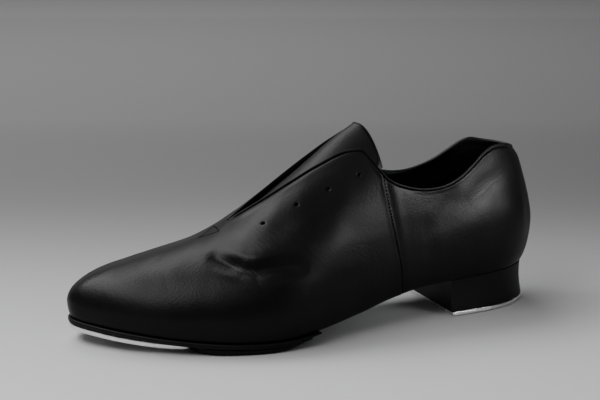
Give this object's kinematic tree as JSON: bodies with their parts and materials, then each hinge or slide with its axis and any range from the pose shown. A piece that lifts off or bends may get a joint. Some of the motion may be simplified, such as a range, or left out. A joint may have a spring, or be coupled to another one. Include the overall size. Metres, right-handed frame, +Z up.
{
  "type": "tap shoe",
  "caption": "Left lace-up tap shoe in soft black leather, with a split front sole, a low heel block and metal taps under toe and heel.",
  "frame": {"origin": "bottom centre of the shoe's box, on the floor that heel tap and ball pad stand on", "axes": "+X to the toe, +Y to the outer side of the left foot, +Z up"},
  "size_m": [0.2862, 0.097, 0.1162],
  "materials": {
    "upper_leather": "soft black leather with a satin sheen and a fine grain",
    "tongue_leather": "soft black leather, satin",
    "piping_leather": "rolled black leather strip",
    "insole_cloth": "black woven lining",
    "sole_rubber": "black rubber, dull, fine lines along its edge",
    "pad_rubber": "black rubber, dull",
    "tap_metal": "bare metal with fine rubbed streaks",
    "heel_rubber": "black, smooth, half matt",
    "heel_tap_metal": "bare metal with fine rubbed streaks"
  },
  "bodies": {
    "root": {"upper": "upper_leather", "tongue": "tongue_leather", "collar_piping": "piping_leather", "insole": "insole_cloth", "outsole": "sole_rubber", "ball_pad": "pad_rubber", "toe_tap": "tap_metal", "heel_block": "heel_rubber", "heel_tap": "heel_tap_metal"}
  },
  "joints": []
}
